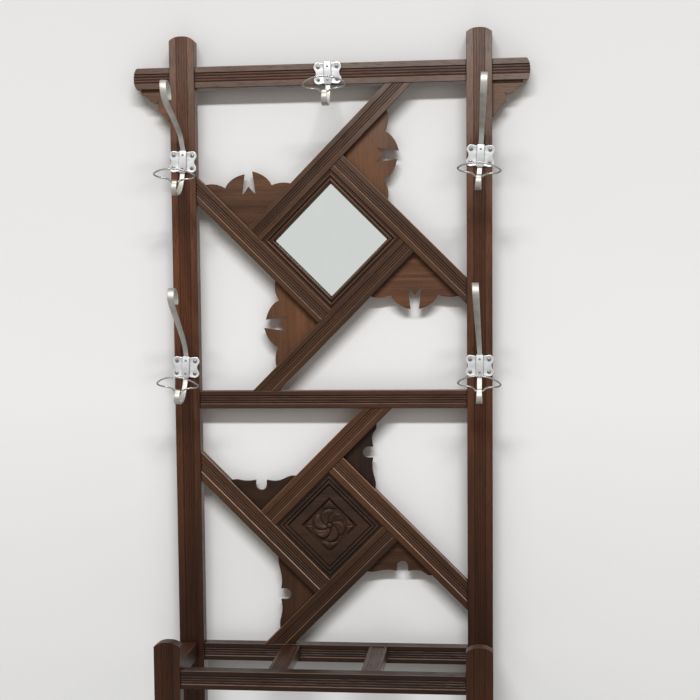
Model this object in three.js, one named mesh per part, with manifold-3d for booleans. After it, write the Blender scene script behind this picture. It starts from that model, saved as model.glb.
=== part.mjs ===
// Coat and umbrella stand for a hall: a tall back frame of reeded, stained wood with two pinwheel panels,
// one round a small mirror and one round a carved block, five aluminium coat hooks, and a shallow
// umbrella well at the front with a lift-out drip tray.
//
// Millimetres. X runs to the right, Y towards the wall and Z up. The origin is on the floor, under the
// middle of the stand's box.

import * as THREE from 'three';
import { mergeVertices } from 'three/addons/utils/BufferGeometryUtils.js';
import Module from 'manifold-3d';

const wasm = await Module();
wasm.setup();

// Driving dimensions of the whole stand

const WIDTH = 574;
const DEPTH = 223;
const HEIGHT = 1797;
const GLUE = 0.3;

// Heights of the rails' top edges above the floor

const TOP_RAIL_TOP = 1743;
const MID_RAIL_TOP = 1163;
const WELL_TOP = 698;
const BASE_TOP = 110;
const POST_TOP = 748;

// Stock: width across the face, thickness behind it, and the reeds worked down the middle of the face

const STILE = { width: 45, thick: 26, reeds: 4, pitch: 4.6 };
const HEAD = { width: 38, thick: 23, reeds: 3, pitch: 5 };
const RAIL = { width: 32, thick: 23, reeds: 3, pitch: 4.4 };
const BAR = { width: 33.5, thick: 20, reeds: 3, pitch: 4.2 };
const WIDE_BAR = { width: 37.5, thick: 20, reeds: 3, pitch: 4.2 };
const DIVIDER = { width: 33, thick: 20, reeds: 4, pitch: 4.4 };
const SIDE = { width: 33, thick: 30, reeds: 0, pitch: 0 };

const REED_CROWN = 0.4;
const REED_VALLEY = 1.5;
const REED_STEPS = 4;
const SLOPE = 1.6;
const ARRIS = 0.9;

const RECESS = 3;
const POST_RECESS = 2;
const HEAD_OVERHANG = 66;
const CROWN_RISE = 8;
const CROWN_POWER = 2.6;
const CROWN_STEPS = 12;
const FRONT_RISE = 1.5;
const TENON = { width: 16, thick: 9, length: 16 };
const HOUSING = 3;

// Planes and lines that follow from them

const BACK = DEPTH / 2;
const STILE_FACE = BACK - STILE.thick;
const RAIL_FACE = STILE_FACE + RECESS;
const POST_FACE = -DEPTH / 2;
const POST_BACK = POST_FACE + STILE.thick;
const WELL_RAIL_FACE = POST_FACE + POST_RECESS;
const STILE_X = (WIDTH - STILE.width) / 2;
const INNER_X = WIDTH / 2 - STILE.width;
const SIDE_X = (WIDTH - SIDE.width) / 2;
const HEAD_BOTTOM = TOP_RAIL_TOP - HEAD.width;

const X = new THREE.Vector3(1, 0, 0);
const Y = new THREE.Vector3(0, 1, 0);
const Z = new THREE.Vector3(0, 0, 1);
const DOWN = new THREE.Vector3(0, 0, -1);

// Finishes

const finish = (color, roughness, metalness = 0) => new THREE.MeshStandardMaterial({ color, roughness, metalness });
const FINISHES = {
  frame: finish(0x4a2a1e, 0.45),
  bar: finish(0x4c2f22, 0.5),
  gusset: finish(0x5d3f2a, 0.6),
  carving: finish(0x33211a, 0.55),
  base: finish(0x4f3323, 0.65),
  mirror: finish(0xd5dcd8, 0.05, 1),
  backing: finish(0x6d5238, 0.8),
  hook: finish(0xc9ccce, 0.35, 1),
  wire: finish(0xb4b6b6, 0.3, 1),
  zinc: finish(0x8d9294, 0.55, 1),
};

// Solids

function toSolid(geometry) {
  const bare = geometry.clone();
  bare.deleteAttribute('normal');
  bare.deleteAttribute('uv');
  const merged = mergeVertices(bare, 1e-3);
  return new wasm.Manifold(new wasm.Mesh({
    numProp: 3,
    vertProperties: new Float32Array(merged.attributes.position.array),
    triVerts: new Uint32Array(merged.index.array),
  }));
}

function toGeometry(solid) {
  const { vertProperties, triVerts } = solid.getMesh();
  const geometry = new THREE.BufferGeometry();
  geometry.setAttribute('position', new THREE.BufferAttribute(vertProperties, 3));
  geometry.setIndex(new THREE.BufferAttribute(triVerts, 1));
  geometry.computeVertexNormals();
  return geometry;
}

function block(low, high) {
  const size = high.map((value, i) => value - low[i]);
  const middle = high.map((value, i) => (value + low[i]) / 2);
  return toSolid(new THREE.BoxGeometry(...size).translate(...middle));
}

// An outline in the front view (X, Z), given a thickness from the plane Y = front to the plane Y = back.
function board(outline, front, back, curveSegments = 6) {
  const shape = Array.isArray(outline) ? new THREE.Shape(outline) : outline;
  const geometry = new THREE.ExtrudeGeometry(shape, { depth: back - front, bevelEnabled: false, curveSegments });
  return geometry.rotateX(Math.PI / 2).translate(0, back, 0);
}

// A length of stock. The section's x runs across the face and its y from the face into the wood.
function beam(section, length, start, along, inward) {
  const across = new THREE.Vector3().crossVectors(inward, along);
  const place = new THREE.Matrix4().makeBasis(across, inward, along).setPosition(start);
  const geometry = new THREE.ExtrudeGeometry(section, { depth: length, bevelEnabled: false });
  return toSolid(geometry.applyMatrix4(place));
}

// The face is flat at both edges, with round reeds side by side in a shallow sunk band between the flats.
// The band's sides slope down to the reeds.
function reeded({ width, thick, reeds, pitch }) {
  const half = width / 2;
  const band = (reeds * pitch) / 2;
  const section = new THREE.Shape();
  section.moveTo(-half, thick);
  section.lineTo(-half, ARRIS);
  section.lineTo(-half + ARRIS, 0);
  if (reeds > 0) {
    section.lineTo(-band - SLOPE, 0);
    for (let step = 0; step <= reeds * REED_STEPS; step++) {
      const swell = Math.abs(Math.sin((Math.PI * step) / REED_STEPS));
      section.lineTo(-band + (pitch * step) / REED_STEPS, REED_VALLEY - (REED_VALLEY - REED_CROWN) * swell);
    }
    section.lineTo(band + SLOPE, 0);
  }
  section.lineTo(half - ARRIS, 0);
  section.lineTo(half, ARRIS);
  section.lineTo(half, thick);
  return section;
}

function plain(width, thick) {
  return new THREE.Shape([
    new THREE.Vector2(-width / 2, 0),
    new THREE.Vector2(width / 2, 0),
    new THREE.Vector2(width / 2, thick),
    new THREE.Vector2(-width / 2, thick),
  ]);
}

// A low crown over a width, with soft shoulders, as points from its right end to its left one.
function crownPoints(width, rise, top, centre) {
  const points = [];
  for (let step = 0; step <= CROWN_STEPS; step++) {
    const along = Math.cos((Math.PI * step) / CROWN_STEPS);
    points.push([centre + (along * width) / 2, top - rise * Math.abs(along) ** CROWN_POWER]);
  }
  return points;
}

// The pieces, kept by name while they are cut and joined, each with the point it is placed by

const pieces = new Map();

function make(name, material, solid, origin = [0, 0, 0]) {
  pieces.set(name, { material, solid, origin });
}

function cut(name, tool) {
  const piece = pieces.get(name);
  piece.solid = piece.solid.subtract(tool);
}

// A tongue on one piece and the slot for it, a glue line larger, in its neighbour.
function joinInto(name, neighbour, tongue) {
  const piece = pieces.get(name);
  piece.solid = piece.solid.add(tongue(0));
  cut(neighbour, tongue(GLUE));
}

const tenonAlong = (start, along, inward, { width, thick, length } = TENON) => (slack) => beam(
  plain(width + 2 * slack, thick + 2 * slack),
  length + slack,
  start.clone().addScaledVector(inward, -thick / 2 - slack),
  along,
  inward,
);

// The back frame: two stiles, and rails between or across them

function upright(name, x, face, height) {
  const stock = beam(reeded(STILE), height, new THREE.Vector3(x, face, 0), Z, Y);
  const top = crownPoints(STILE.width, CROWN_RISE, height, x);
  const outline = [[x - STILE.width / 2, 0], [x + STILE.width / 2, 0], ...top].map((p) => new THREE.Vector2(...p));
  const crowned = toSolid(board(outline, face - 1, face + STILE.thick + 1));
  make(name, 'frame', stock.intersect(crowned), [x, face, 0]);
}

function crossRail(name, stock, top, face, half = INNER_X - GLUE) {
  const start = new THREE.Vector3(-half, face, top - stock.width / 2);
  make(name, 'frame', beam(reeded(stock), 2 * half, start, X, Y), [0, face, top]);
}

function tenonRail(name, left, right, top, face, stock) {
  const level = top - stock.width / 2;
  const middle = face + stock.thick / 2;
  const across = X.clone();
  joinInto(name, right, tenonAlong(new THREE.Vector3(INNER_X - 1, middle, level), across, Y));
  across.negate();
  joinInto(name, left, tenonAlong(new THREE.Vector3(1 - INNER_X, middle, level), across, Y));
}

upright('left_stile', -STILE_X, STILE_FACE, HEIGHT);
upright('right_stile', STILE_X, STILE_FACE, HEIGHT);

// The head rail crosses behind the stiles' faces in halved joints and overhangs them, with round ends.
function headRail() {
  const reach = WIDTH / 2 + HEAD_OVERHANG;
  crossRail('top_rail', HEAD, TOP_RAIL_TOP, RAIL_FACE, reach);
  const middle = TOP_RAIL_TOP - HEAD.width / 2;
  const right = crownPoints(HEAD.width, 6, reach, middle).map(([z, x]) => new THREE.Vector2(x, z));
  const left = right.map((point) => new THREE.Vector2(-point.x, point.y)).reverse();
  const rounded = toSolid(board([...right, ...left].reverse(), RAIL_FACE - 1, BACK + 1));
  const piece = pieces.get('top_rail');
  piece.solid = piece.solid.intersect(rounded);
  const lap = (RAIL_FACE + BACK) / 2;
  for (const [stile, x] of [['left_stile', -STILE_X], ['right_stile', STILE_X]]) {
    const half = STILE.width / 2;
    cut(stile, block([x - half - 1, lap, HEAD_BOTTOM - GLUE], [x + half + 1, BACK + 1, TOP_RAIL_TOP + GLUE]));
    cut('top_rail', block([x - half - GLUE, RAIL_FACE - 1, HEAD_BOTTOM - 1], [x + half + GLUE, lap + GLUE, TOP_RAIL_TOP + 1]));
  }
}
headRail();

crossRail('mid_rail', RAIL, MID_RAIL_TOP, RAIL_FACE);
crossRail('well_back_rail', RAIL, WELL_TOP, RAIL_FACE);
crossRail('base_back_rail', RAIL, BASE_TOP, RAIL_FACE);
tenonRail('mid_rail', 'left_stile', 'right_stile', MID_RAIL_TOP, RAIL_FACE, RAIL);
tenonRail('well_back_rail', 'left_stile', 'right_stile', WELL_TOP, RAIL_FACE, RAIL);
tenonRail('base_back_rail', 'left_stile', 'right_stile', BASE_TOP, RAIL_FACE, RAIL);

// A fretted bracket fills each corner under the head rail's overhang. Its outline is drawn from the corner
// between the stile and the rail: a hollow, a round lobe, a nick, and a second hollow down to the stile.
const BRACKET = { drop: 62, reach: 54, front: STILE_FACE + 8, thick: 10 };

function bracketOutline(side) {
  const { drop, reach } = BRACKET;
  const outline = new THREE.Shape();
  const at = (x, z) => [side * (WIDTH / 2 + x), HEAD_BOTTOM + z];
  outline.moveTo(...at(-HOUSING, HOUSING));
  outline.lineTo(...at(reach - 2, HOUSING));
  outline.lineTo(...at(reach - 2, -GLUE));
  outline.lineTo(...at(reach, -GLUE));
  outline.lineTo(...at(reach - 1, -8));
  outline.quadraticCurveTo(...at(43, -11), ...at(39, -18));
  outline.bezierCurveTo(...at(35, -23), ...at(28, -26), ...at(21, -20));
  outline.lineTo(...at(24, -25));
  outline.quadraticCurveTo(...at(22, -31), ...at(24.5, -36));
  outline.quadraticCurveTo(...at(15, -43), ...at(9, -52));
  outline.quadraticCurveTo(...at(5, -59), ...at(GLUE, -drop));
  outline.lineTo(...at(GLUE, -drop + 2));
  outline.lineTo(...at(-HOUSING, -drop + 2));
  return outline;
}

for (const [name, stile, side] of [['left_bracket', 'left_stile', -1], ['right_bracket', 'right_stile', 1]]) {
  const { front, thick, drop, reach } = BRACKET;
  const edge = side * (WIDTH / 2);
  const span = (a, b) => [Math.min(edge + side * a, edge + side * b), Math.max(edge + side * a, edge + side * b)];
  const solid = toSolid(board(bracketOutline(side), front, front + thick, 5));
  const [inX, outX] = span(-HOUSING - GLUE, GLUE);
  cut(stile, block([inX, front - GLUE, HEAD_BOTTOM - drop + 2 - GLUE], [outX, front + thick + GLUE, HEAD_BOTTOM + 1]));
  const [nearX, farX] = span(-HOUSING - GLUE, reach - 2 + GLUE);
  const low = [nearX, front - GLUE, HEAD_BOTTOM - 1];
  const high = [farX, front + thick + GLUE, HEAD_BOTTOM + HOUSING + GLUE];
  cut('top_rail', block(low, high));
  cut(stile, block(low, high));
  make(name, 'gusset', solid, [edge, front, HEAD_BOTTOM]);
}

// The pinwheels. Each is four bars round a square that stands on its corner. One end of every bar butts
// against the side of the next bar, and the other end runs out to the frame, so the four chase each other.
// A fretted gusset fills the corner between each bar and the next.

const WHEELS = {
  upper: { x: 0, z: 1432.5, inner: 88.5, bar: BAR, floor: MID_RAIL_TOP, ceiling: HEAD_BOTTOM },
  lower: { x: -8, z: 917, inner: 69.5, bar: WIDE_BAR, floor: WELL_TOP, ceiling: MID_RAIL_TOP - RAIL.width },
};
const QUARTERS = ['left', 'top', 'right', 'bottom'];
const CORNERS = ['top_left', 'top_right', 'bottom_right', 'bottom_left'];
const RECEIVERS = {
  upper: ['left_stile', 'top_rail', 'right_stile', 'mid_rail'],
  lower: ['left_stile', 'mid_rail', 'right_stile', 'well_back_rail'],
};
const STUB = { width: 14, thick: 8, length: 9 };
const GUSSET = { recess: 8.5, thick: 8 };

// Turns a direction in the front view clockwise by a number of quarter turns.
const turned = (x, z, quarter) => new THREE.Vector3(x, 0, z).applyAxisAngle(Y, (quarter * Math.PI) / 2);

function wheelBars(which) {
  const wheel = WHEELS[which];
  const opening = block(
    [-INNER_X + GLUE, RAIL_FACE - 1, wheel.floor + GLUE],
    [INNER_X - GLUE, BACK, wheel.ceiling - GLUE],
  );
  const centre = new THREE.Vector3(wheel.x, 0, wheel.z);
  const middle = wheel.inner + wheel.bar.width / 2;
  const s = Math.SQRT1_2;
  const bars = QUARTERS.map((place, quarter) => {
    const out = turned(-s, s, quarter);
    const side = turned(-s, -s, quarter);
    const line = centre.clone().addScaledVector(side, middle);
    const start = line.clone().addScaledVector(out, GLUE - wheel.inner).setY(RAIL_FACE);
    const solid = beam(reeded(wheel.bar), 3 * WIDTH / 4, start, out, Y).intersect(opening);
    make(`${which}_bar_${place}`, 'bar', solid, [wheel.x, RAIL_FACE, wheel.z]);
    return { place, out, line };
  });
  bars.forEach(({ place, out, line }, quarter) => {
    const name = `${which}_bar_${place}`;
    const next = `${which}_bar_${QUARTERS[(quarter + 3) % 4]}`;
    const depth = RAIL_FACE + BAR.thick / 2;
    const butt = line.clone().addScaledVector(out, 1 - wheel.inner).setY(depth);
    joinInto(name, next, tenonAlong(butt, out.clone().negate(), Y, { ...STUB, width: wheel.bar.width - 9 }));
    const gap = [INNER_X + wheel.x, wheel.ceiling - wheel.z, INNER_X - wheel.x, wheel.z - wheel.floor][quarter];
    const reach = gap / s - middle;
    const shoulder = line.clone().addScaledVector(out, reach - 6).setY(depth);
    joinInto(name, RECEIVERS[which][quarter], tenonAlong(shoulder, out, Y, { ...STUB, length: 22 }));
  });
}

// Gusset outlines, drawn from the inner corner with the free edge above it. They were sawn by hand, so the
// two ends of an edge and the four corners of a wheel differ a little. The upper ones have two small lobes
// outside two tall horns, with a swallow-tail notch between the horns. Each half has its own height.
function hornedEdge(outline, { left, right, leftHeight, rightHeight }) {
  const low = 76 * (leftHeight + rightHeight) / 2;
  outline.lineTo(right, right);
  outline.quadraticCurveTo(60, right + 5 * rightHeight, 42, 75.5 * rightHeight);
  outline.bezierCurveTo(37, 88 * rightHeight, 25, 97 * rightHeight, 7.5, 101 * rightHeight);
  outline.quadraticCurveTo(10, 82 * rightHeight, 13, 60.5 * rightHeight);
  outline.quadraticCurveTo(6, 66 * rightHeight, 0, low);
  outline.quadraticCurveTo(-6, 66 * leftHeight, -13, 60.5 * leftHeight);
  outline.quadraticCurveTo(-10, 82 * leftHeight, -7.5, 101 * leftHeight);
  outline.bezierCurveTo(-25, 97 * leftHeight, -37, 88 * leftHeight, -42, 75.5 * leftHeight);
  outline.quadraticCurveTo(-60, left + 5 * leftHeight, -left, left);
}

// The lower ones have a wavy edge with a keyhole notch near its middle.
function wavyEdge(outline, { left, right, level, notch }) {
  const hole = 10.2;
  const root = level - 6.5;
  outline.lineTo(right, right);
  outline.bezierCurveTo(right - 15, right + 3, notch + 40, level - 0.5, notch + 26, level);
  outline.quadraticCurveTo(notch + 18, level, notch + hole, level + 1.8);
  outline.lineTo(notch + hole, root);
  outline.absarc(notch, root, hole, 0, -Math.PI, true);
  outline.lineTo(notch - hole, level + 1.8);
  outline.quadraticCurveTo(notch - 18, level, notch - 26, level);
  outline.bezierCurveTo(notch - 40, level - 0.5, 15 - left, left + 3, -left, left);
}

const horned = (leftHeight, rightHeight) => ({ left: 78, right: 78, leftHeight, rightHeight });
const GUSSETS = {
  upper: { edge: hornedEdge, corners: [horned(0.95, 1), horned(0.975, 0.945), horned(1, 1), horned(0.985, 0.955)] },
  lower: {
    edge: wavyEdge,
    corners: [
      { left: 55.5, right: 63.5, level: 54, notch: 0 },
      { left: 60, right: 57.5, level: 52, notch: -9 },
      { left: 63, right: 57.5, level: 54, notch: -7.5 },
      { left: 66.5, right: 68, level: 62.3, notch: -2.6 },
    ],
  },
};

function wheelGussets(which) {
  const wheel = WHEELS[which];
  const { edge, corners } = GUSSETS[which];
  const front = RAIL_FACE + GUSSET.recess;
  const back = front + GUSSET.thick;
  const s = Math.SQRT1_2;
  const sunk = HOUSING * Math.SQRT2;
  const apexX = -(2 * wheel.inner + wheel.bar.width) * s;
  const apexZ = wheel.bar.width * s;
  CORNERS.forEach((corner, quarter) => {
    const shape = corners[quarter];
    const { left, right } = shape;
    const outline = new THREE.Shape();
    outline.moveTo(-left - sunk / 2, left - sunk / 2);
    outline.lineTo(0, -sunk);
    outline.lineTo(right + sunk / 2, right - sunk / 2);
    edge(outline, shape);
    const place = (geometry) => toSolid(geometry
      .translate(apexX, 0, apexZ)
      .rotateY((quarter * Math.PI) / 2)
      .translate(wheel.x, 0, wheel.z));
    make(`${which}_gusset_${corner}`, 'gusset', place(board(outline, front, back, 5)), [wheel.x, front, wheel.z]);
    // A housing down the edge of both bars, a glue line larger than the gusset's margin
    const near = HOUSING + GLUE;
    const groove = (leg, turn, side) => {
      const far = leg * Math.SQRT2 + GLUE;
      return place(new THREE.BoxGeometry(far + near, GUSSET.thick + 2 * GLUE, HOUSING + 2 * GLUE)
        .translate((far - near) / 2, (front + back) / 2, (side * HOUSING) / 2)
        .rotateY(turn));
    };
    const housing = groove(left, (-3 * Math.PI) / 4, 1).add(groove(right, -Math.PI / 4, -1));
    cut(`${which}_bar_${QUARTERS[quarter]}`, housing);
    cut(`${which}_bar_${QUARTERS[(quarter + 1) % 4]}`, housing);
  });
}

for (const which of ['upper', 'lower']) {
  wheelBars(which);
  wheelGussets(which);
}

// A moulding that runs square round a wheel's middle. Its profile gives the distance from the wheel's centre
// to the side of the square and the depth behind the bars' faces.
function squareMoulding(profile, wheel) {
  const points = profile.map(([distance, depth]) => new THREE.Vector2(distance * Math.SQRT2, RAIL_FACE + depth));
  return toSolid(new THREE.LatheGeometry(points, 4).translate(wheel.x, 0, wheel.z));
}

// The tongue round a square moulding, and the groove for it down the inner side of each bar
const TONGUE = { reach: 3, near: 8, far: 12 };

function grooveBars(which, outer) {
  const wheel = WHEELS[which];
  const low = TONGUE.near - GLUE;
  const high = TONGUE.far + GLUE;
  const reach = outer + TONGUE.reach + GLUE;
  const ring = squareMoulding([[outer - 1, low], [reach, low], [reach, high], [outer - 1, high], [outer - 1, low]], wheel);
  for (const place of QUARTERS) {
    cut(`${which}_bar_${place}`, ring);
  }
}

// Adds a round bead to a moulding's profile, from its inner quirk to its outer one.
function bead(distance, depth, radius) {
  const points = [];
  for (let step = 0; step <= 6; step++) {
    const angle = (Math.PI * step) / 6;
    points.push([distance - radius * Math.cos(angle), depth - radius * Math.sin(angle)]);
  }
  return points;
}

// The mirror: silvered glass in a rebated frame of four mitred mouldings, with a thin board behind
const MIRROR = { sight: 71, frame: 17.2, rebate: 6, glassFront: 12, glass: 4, board: 3.2 };

function mirror() {
  const wheel = WHEELS.upper;
  const { sight, frame, rebate, glassFront, glass, board: backing } = MIRROR;
  const outer = sight + frame;
  const back = BAR.thick - 0.5;
  const ring = squareMoulding([
    [sight, glassFront - GLUE],
    [sight, 8],
    ...bead(sight + 4.5, 5, 2.7),
    [sight + 8.2, 4.2],
    ...bead(sight + 11.4, 4, 2.3),
    [sight + 14.6, 2],
    [outer, 2],
    [outer, TONGUE.near],
    [outer + TONGUE.reach, TONGUE.near],
    [outer + TONGUE.reach, TONGUE.far],
    [outer, TONGUE.far],
    [outer, back],
    [sight + rebate, back],
    [sight + rebate, glassFront - GLUE],
    [sight, glassFront - GLUE],
  ], wheel);
  grooveBars('upper', outer);
  CORNERS.forEach((corner, quarter) => {
    const far = 2 * outer + 2 * TONGUE.reach;
    const mitre = new THREE.Shape([
      new THREE.Vector2(-GLUE / 2, GLUE / 2),
      new THREE.Vector2(-GLUE / 2, far),
      new THREE.Vector2(-far, GLUE / 2),
    ]);
    const wedge = toSolid(board(mitre, RAIL_FACE - 1, BACK)
      .rotateY((quarter * Math.PI) / 2)
      .translate(wheel.x, 0, wheel.z));
    make(`mirror_frame_${corner}`, 'bar', ring.intersect(wedge), [wheel.x, RAIL_FACE, wheel.z]);
  });
  const side = 2 * (sight + rebate - GLUE);
  const panel = (depth, thick) => toSolid(new THREE.BoxGeometry(side, thick, side)
    .rotateY(Math.PI / 4)
    .translate(wheel.x, RAIL_FACE + depth + thick / 2, wheel.z));
  make('mirror_glass', 'mirror', panel(glassFront, glass), [wheel.x, RAIL_FACE, wheel.z]);
  make('mirror_backboard', 'backing', panel(glassFront + glass + GLUE, backing), [wheel.x, RAIL_FACE, wheel.z]);
}
mirror();

// The block in the lower wheel: two beads round its edge, a flat margin, and a square field sunk for carving
const PANEL = { field: 34, fieldDepth: 9, margin: 53, thick: 18 };

function carvedPanel() {
  const wheel = WHEELS.lower;
  const outer = wheel.inner - GLUE;
  const profile = [
    [0, PANEL.fieldDepth],
    [PANEL.field, PANEL.fieldDepth],
    [PANEL.field + 3, 4.5],
    [PANEL.margin - 1, 4.5],
    [PANEL.margin, 6],
    ...bead(PANEL.margin + 3.6, 4.5, 2.4),
    [PANEL.margin + 6.8, 4.5],
    ...bead(PANEL.margin + 9.6, 4.5, 2.4),
    [PANEL.margin + 12.8, 4.5],
    [PANEL.margin + 13.6, 3],
    [outer, 3],
    [outer, TONGUE.near],
    [outer + TONGUE.reach, TONGUE.near],
    [outer + TONGUE.reach, TONGUE.far],
    [outer, TONGUE.far],
    [outer, PANEL.thick],
    [0, PANEL.thick],
  ];
  grooveBars('lower', outer);
  make('carved_panel', 'carving', squareMoulding(profile, wheel), [wheel.x, RAIL_FACE, wheel.z]);
}
carvedPanel();

// The umbrella well: two short front posts, a rail between them, a flat rail at each side and two dividers

upright('left_front_post', -STILE_X, POST_FACE, POST_TOP);
upright('right_front_post', STILE_X, POST_FACE, POST_TOP);

const FRONT_RAIL = { ...RAIL, thick: STILE.thick - POST_RECESS };
const SIDE_TENON = { width: 18, thick: 12, length: 15 };

function sideRail(name, side, top, stile, post) {
  const section = reeded(SIDE);
  const length = STILE_FACE - POST_BACK - 2 * GLUE;
  const start = new THREE.Vector3(side * SIDE_X, POST_BACK + GLUE, top);
  make(name, 'frame', beam(section, length, start, Y, DOWN), [side * SIDE_X, 0, top]);
  const level = top - SIDE.thick / 2;
  const toWall = new THREE.Vector3(side * SIDE_X, STILE_FACE - 1, level);
  const toFront = new THREE.Vector3(side * SIDE_X, POST_BACK + 1, level);
  joinInto(name, stile, tenonAlong(toWall, Y, DOWN, SIDE_TENON));
  joinInto(name, post, tenonAlong(toFront, Y.clone().negate(), DOWN, SIDE_TENON));
}

for (const [level, top] of [['well', WELL_TOP], ['base', BASE_TOP]]) {
  const front = top + FRONT_RISE;
  crossRail(`${level}_front_rail`, FRONT_RAIL, front, WELL_RAIL_FACE);
  tenonRail(`${level}_front_rail`, 'left_front_post', 'right_front_post', front, WELL_RAIL_FACE, FRONT_RAIL);
  sideRail(`${level}_left_rail`, -1, front, 'left_stile', 'left_front_post');
  sideRail(`${level}_right_rail`, 1, front, 'right_stile', 'right_front_post');
}

const DIVIDER_X = 80;
const DIVIDER_DROP = 1.5;

for (const [name, x] of [['left_divider', -DIVIDER_X], ['right_divider', DIVIDER_X]]) {
  const top = WELL_TOP - DIVIDER_DROP;
  const start = new THREE.Vector3(x, POST_BACK + GLUE, top);
  const solid = beam(reeded(DIVIDER), RAIL_FACE - POST_BACK - 2 * GLUE, start, Y, DOWN);
  make(name, 'frame', solid, [x, 0, top]);
  const level = top - DIVIDER.thick / 2;
  const stub = { width: 18, thick: 9, length: 9 };
  joinInto(name, 'well_back_rail', tenonAlong(new THREE.Vector3(x, RAIL_FACE - 1, level), Y, DOWN, stub));
  joinInto(name, 'well_front_rail', tenonAlong(new THREE.Vector3(x, POST_BACK + 1, level), Y.clone().negate(), DOWN, stub));
}

// The base: a floor board housed in grooves in the four base rails, and a lift-out drip tray on it

const FLOOR_BOARD = { thick: 10, top: BASE_TOP - 15, tongue: 6 };

function floorBoard() {
  const { thick, top, tongue } = FLOOR_BOARD;
  const sideX = WIDTH / 2 - SIDE.width;
  const low = [-sideX, POST_BACK, top - thick];
  const high = [sideX, RAIL_FACE, top];
  // Each corner is notched where a post or stile stands inside the rails' line
  const notch = sideX - INNER_X + GLUE;
  const sheet = block(
    [low[0] - tongue, low[1] - tongue, low[2]],
    [high[0] + tongue, high[1] + tongue, high[2]],
  );
  const corners = [];
  for (const x of [-1, 1]) {
    for (const [near, far] of [[low[1] - tongue - 1, POST_BACK + GLUE], [STILE_FACE - GLUE, high[1] + tongue + 1]]) {
      const xs = [x * (sideX - notch), x * (sideX + tongue + 1)].sort((a, b) => a - b);
      corners.push(block([xs[0], near, low[2] - 1], [xs[1], far, high[2] + 1]));
    }
  }
  const solid = corners.reduce((board, corner) => board.subtract(corner), sheet);
  const groove = (slack) => block(
    [low[0] - tongue - slack, low[1] - tongue - slack, low[2] - slack],
    [high[0] + tongue + slack, high[1] + tongue + slack, high[2] + slack],
  );
  for (const rail of ['base_front_rail', 'base_back_rail', 'base_left_rail', 'base_right_rail']) {
    cut(rail, groove(GLUE));
  }
  make('floor_board', 'base', solid, [0, 0, top]);
}
floorBoard();

// Folded sheet with a rolled rim: the walls lean out a little, and the rim is a round wire edge
const TRAY = { length: 462, width: 152, height: 26, sheet: 1.6, lean: 3, rim: 2.6, corner: 14, cornerSteps: 4 };

function trayRing(inset, z) {
  const halfX = TRAY.length / 2 - inset;
  const halfY = TRAY.width / 2 - inset;
  const radius = Math.max(TRAY.corner - inset, 2);
  const ring = [];
  for (let corner = 0; corner < 4; corner++) {
    const signX = corner === 0 || corner === 3 ? 1 : -1;
    const signY = corner < 2 ? 1 : -1;
    for (let step = 0; step <= TRAY.cornerSteps; step++) {
      const angle = (Math.PI / 2) * (corner + step / TRAY.cornerSteps);
      ring.push(new THREE.Vector3(
        signX * (halfX - radius) + radius * Math.cos(angle),
        signY * (halfY - radius) + radius * Math.sin(angle),
        z,
      ));
    }
  }
  return ring;
}

// Skins a run of rings, each the same number of points in the same order. The run is either closed on
// itself or ends in two flat caps.
function skin(rings, closed = false) {
  const count = rings[0].length;
  const positions = rings.flat().flatMap((point) => point.toArray());
  const index = [];
  const quads = closed ? rings.length : rings.length - 1;
  for (let ring = 0; ring < quads; ring++) {
    const here = ring * count;
    const next = ((ring + 1) % rings.length) * count;
    for (let i = 0; i < count; i++) {
      const j = (i + 1) % count;
      index.push(here + i, here + j, next + j, here + i, next + j, next + i);
    }
  }
  if (!closed) {
    const last = (rings.length - 1) * count;
    for (let i = 1; i < count - 1; i++) {
      index.push(0, i + 1, i, last, last + i, last + i + 1);
    }
  }
  const geometry = new THREE.BufferGeometry();
  geometry.setAttribute('position', new THREE.Float32BufferAttribute(positions, 3));
  geometry.setIndex(index);
  return geometry;
}

function dripTray() {
  const { height, sheet, lean, rim } = TRAY;
  const base = FLOOR_BOARD.top + GLUE;
  const rings = [
    trayRing(lean, base),
    trayRing(rim - sheet / 2, base + height - 2 * rim),
    trayRing(0, base + height - 1.5 * rim),
    trayRing(0, base + height - 0.5 * rim),
    trayRing(rim, base + height),
    trayRing(2 * rim, base + height - 0.5 * rim),
    trayRing(2 * rim, base + height - 1.5 * rim),
    trayRing(rim + sheet / 2, base + height - 2 * rim),
    trayRing(lean + sheet, base + sheet),
  ];
  make('drip_tray', 'zinc', toSolid(skin(rings)), [0, 0, base]);
}
dripTray();

// Coat hooks: a pressed plate with a raised channel, and a bent strip held in the channel. The strip's upper
// arm ends in a crook that curls back towards the wall, and its lower tip is rolled round a wire loop. They
// are drawn with X across, Y out from the wood (negative here, because the front is -Y) and Z up from the
// plate's lower edge.

const PLATE = { width: 49.5, height: 38.5, sheet: 1.6, lobe: 8.2, channel: 12.8, channelRise: 4.6 };
const STRIP = { thick: 2, neck: 9, bend: 11, roll: 9.4, arm: 11.8 };
const WIRE = { radius: 1.5, sides: 6, steps: 38, dipOut: 61, dipZ: -21.8, straight: 5.6 };
const ROLL = { radius: 2.9, from: -15, to: 205, points: 7 };
const CROOK = { radius: 17, points: 6 };
const STRIP_STEP = 7.5;
const ROLL_STEPS = 9;
const STRIP_SECTION = [
  [-1, -0.4], [-0.85, -1], [0.85, -1], [1, -0.4],
  [1, 0.4], [0.85, 1], [-0.85, 1], [-1, 0.4],
];

// The upper arms, as [distance out from the wood, height above the plate]. Each runs up to the front of its
// crook, whose middle and free end are given too. The upper pair reach further forward.
const ARMS = {
  forward: {
    run: [[3.4, 9], [9, 26], [28, 39], [46, 49.2], [66, 59.5], [88, 69], [99.5, 77.5]],
    middle: [87, 93.5],
    end: [71, 79.5],
  },
  steep: {
    run: [[3, 9], [7, 19], [22, 37.5], [40, 54], [57, 68.5], [76, 85], [88, 97]],
    middle: [75, 106],
    end: [59, 95],
  },
};

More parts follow.
